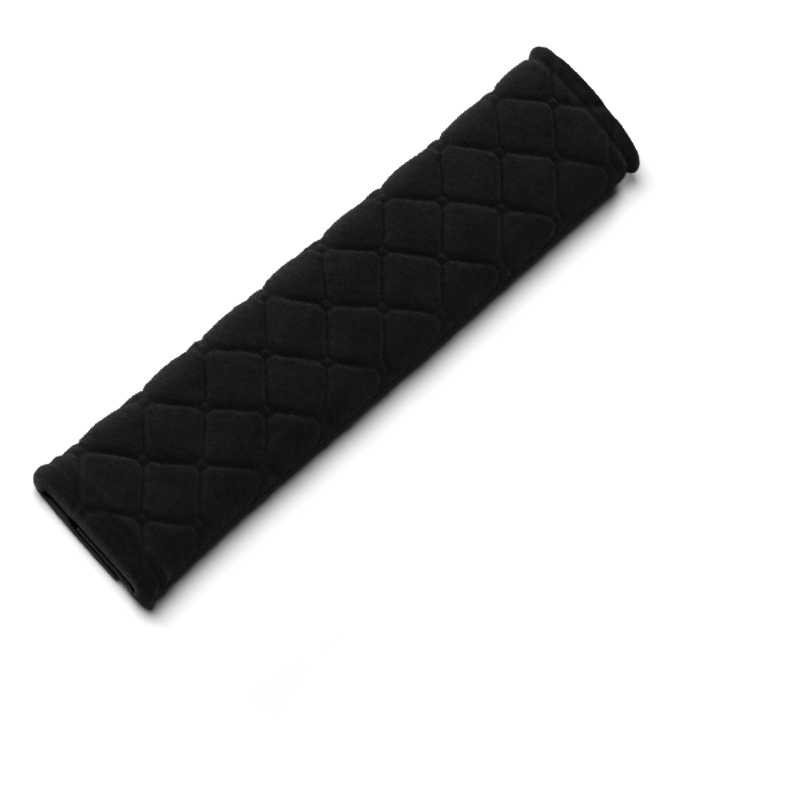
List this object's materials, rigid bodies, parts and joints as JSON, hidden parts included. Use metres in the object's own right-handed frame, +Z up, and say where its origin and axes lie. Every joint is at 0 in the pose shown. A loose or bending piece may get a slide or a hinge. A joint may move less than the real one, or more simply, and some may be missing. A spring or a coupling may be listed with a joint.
{
  "type": "seat belt shoulder pad",
  "caption": "Long quilted plush pad folded round a seat belt into a flat tube, with turned ends and a hook and loop closure underneath.",
  "frame": {"origin": "centre of the pad's bounding box at its base, the surface it lies on", "axes": "+X along the pad, +Y across it towards the fold that carries the outer flap, +Z up through the crown"},
  "size_m": [0.306, 0.0696, 0.0212],
  "materials": {
    "plush": "black quilted plush with a short velvety pile",
    "hook_tape": "woven tape with fine stiff hooks",
    "loop_tape": "woven tape with a soft looped pile"
  },
  "bodies": {
    "root": {"quilted_panel": "plush", "hook_tape": "hook_tape", "loop_tape": "loop_tape"}
  },
  "joints": []
}
